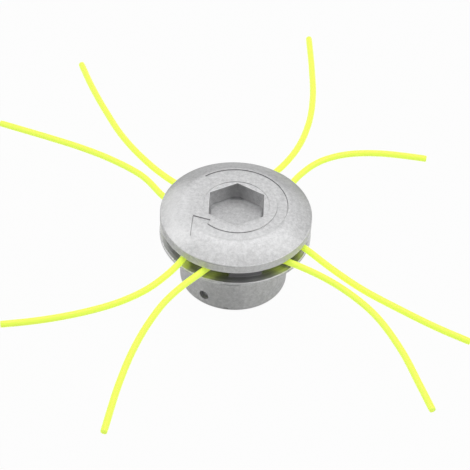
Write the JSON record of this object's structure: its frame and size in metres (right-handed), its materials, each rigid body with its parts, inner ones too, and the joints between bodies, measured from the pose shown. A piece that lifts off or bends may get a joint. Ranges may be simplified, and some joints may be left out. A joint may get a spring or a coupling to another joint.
{
  "type": "fixed line trimmer head",
  "caption": "Fixed trimmer head: two cast aluminium halves clamp stiff nylon lines round posts at the rim; hex wrench recess on top, open cup with a threaded arbor nut below.",
  "frame": {"origin": "centre of the skirt's open standing edge, on the head's axis", "axes": "+Z along the head's axis from the standing edge to the cover disc; +Y points at a corner of the hex recess, and -Y is the side the picture was taken from"},
  "size_m": [0.2533, 0.3084, 0.05],
  "materials": {
    "cast_aluminium": "as cast, matt with a fine grain",
    "zinc_steel": "bright zinc plate",
    "black_steel": "black oxide",
    "line_nylon": "fluorescent yellow-green nylon, satin"
  },
  "bodies": {
    "root": {"cover_disc": "cast_aluminium", "hub_body": "cast_aluminium", "arbor_nut": "zinc_steel", "clamp_screw_1": "black_steel", "lock_washer_1": "zinc_steel", "clamp_screw_2": "black_steel", "lock_washer_2": "zinc_steel", "clamp_screw_3": "black_steel", "lock_washer_3": "zinc_steel", "clamp_screw_4": "black_steel", "lock_washer_4": "zinc_steel", "trimmer_line_front": "line_nylon", "trimmer_line_right": "line_nylon", "trimmer_line_back": "line_nylon", "trimmer_line_left": "line_nylon"}
  },
  "joints": []
}
